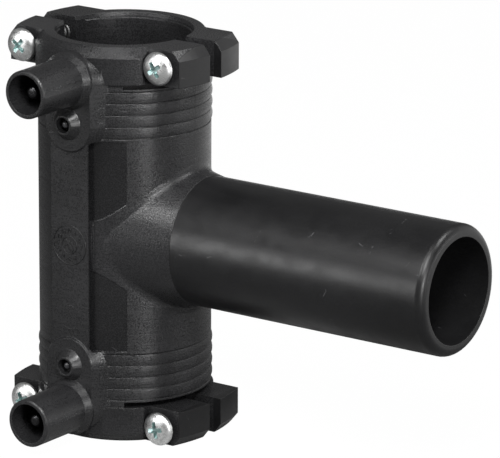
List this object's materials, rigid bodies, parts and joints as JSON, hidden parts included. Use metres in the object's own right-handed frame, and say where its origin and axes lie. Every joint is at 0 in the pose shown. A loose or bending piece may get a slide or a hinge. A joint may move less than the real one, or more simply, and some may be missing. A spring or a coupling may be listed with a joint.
{
  "type": "electrofusion tee",
  "caption": "Black polyethylene pipe tee with electrofusion sockets in line, split clamp rings with screws, shrouded terminals and a plain spigot branch.",
  "frame": {"origin": "centre of the lower socket's pipe stop, on the run's axis", "axes": "+Z along the run towards the upper socket, +X along the branch away from the run, -Y towards the welding terminals"},
  "size_m": [0.1561, 0.0769, 0.124],
  "materials": {
    "moulding": "spark-eroded grain",
    "screws": "bright zinc",
    "contacts": "dull tinned",
    "indicators": "smooth",
    "wire": "drawn"
  },
  "bodies": {
    "root": {"tee_body": "moulding", "heating_wire": "wire", "lower_contact_pin": "contacts", "upper_contact_pin": "contacts", "lower_indicator_pin": "indicators", "upper_indicator_pin": "indicators", "clamp_screws": "screws"}
  },
  "joints": []
}
